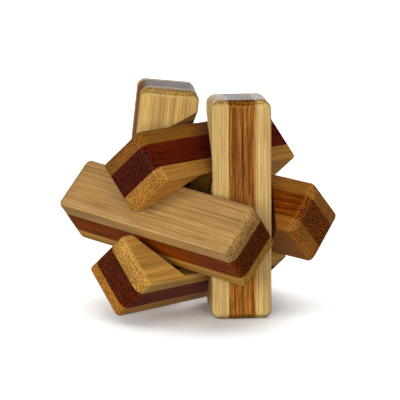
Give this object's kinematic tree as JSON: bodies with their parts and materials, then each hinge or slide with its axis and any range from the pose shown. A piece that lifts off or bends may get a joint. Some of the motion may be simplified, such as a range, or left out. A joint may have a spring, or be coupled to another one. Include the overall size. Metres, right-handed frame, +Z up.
{
  "type": "diagonal burr puzzle",
  "caption": "Interlocking burr puzzle: equal square sticks of striped laminated bamboo, turned on edge and V-notched, cross in three directions and lock together.",
  "frame": {"origin": "centre of the footprint, on the surface that the burr stands on", "axes": "+Z is up, along the front post; +X is roughly along the two beams, towards the front post; +Y is roughly along the two bars, towards the rear beam"},
  "size_m": [0.0782, 0.079, 0.0774],
  "materials": {
    "pale_bamboo": "satin, fine grain along the stick",
    "dark_bamboo": "satin, dark heat-treated bamboo"
  },
  "bodies": {
    "front_post": {"front_post_outer_strip": "pale_bamboo", "front_post_core": "dark_bamboo", "front_post_inner_strip": "pale_bamboo"},
    "rear_post": {"rear_post_outer_strip": "pale_bamboo", "rear_post_core": "dark_bamboo", "rear_post_inner_strip": "pale_bamboo"},
    "front_beam": {"front_beam_outer_strip": "pale_bamboo", "front_beam_core": "dark_bamboo", "front_beam_inner_strip": "pale_bamboo"},
    "rear_beam": {"rear_beam_outer_strip": "pale_bamboo", "rear_beam_core": "dark_bamboo", "rear_beam_inner_strip": "pale_bamboo"},
    "upper_bar": {"upper_bar_outer_strip": "pale_bamboo", "upper_bar_core": "dark_bamboo", "upper_bar_inner_strip": "pale_bamboo"},
    "lower_bar": {"lower_bar_outer_strip": "pale_bamboo", "lower_bar_core": "dark_bamboo", "lower_bar_inner_strip": "pale_bamboo"}
  },
  "joints": [
    {"name": "upper_bar_slide", "type": "slide", "parent": "lower_bar", "child": "upper_bar", "axis": [0, 0, 1], "range_m": [0, 0.05]},
    {"name": "front_post_slide", "type": "slide", "parent": "lower_bar", "child": "front_post", "axis": [0.7071, 0, 0.7071], "range_m": [0, 0.0354]},
    {"name": "rear_post_slide", "type": "slide", "parent": "lower_bar", "child": "rear_post", "axis": [-0.7071, 0, 0.7071], "range_m": [0, 0.0354]},
    {"name": "front_beam_slide", "type": "slide", "parent": "lower_bar", "child": "front_beam", "axis": [0, -0.7071, 0.7071], "range_m": [0, 0.0354]},
    {"name": "rear_beam_slide", "type": "slide", "parent": "lower_bar", "child": "rear_beam", "axis": [0, 0.7071, 0.7071], "range_m": [0, 0.0354]}
  ],
  "couplings": [
    {"joint": "front_post_slide", "follows": "upper_bar_slide", "ratio": 0.70711},
    {"joint": "rear_post_slide", "follows": "upper_bar_slide", "ratio": 0.70711},
    {"joint": "front_beam_slide", "follows": "upper_bar_slide", "ratio": 0.70711},
    {"joint": "rear_beam_slide", "follows": "upper_bar_slide", "ratio": 0.70711}
  ]
}
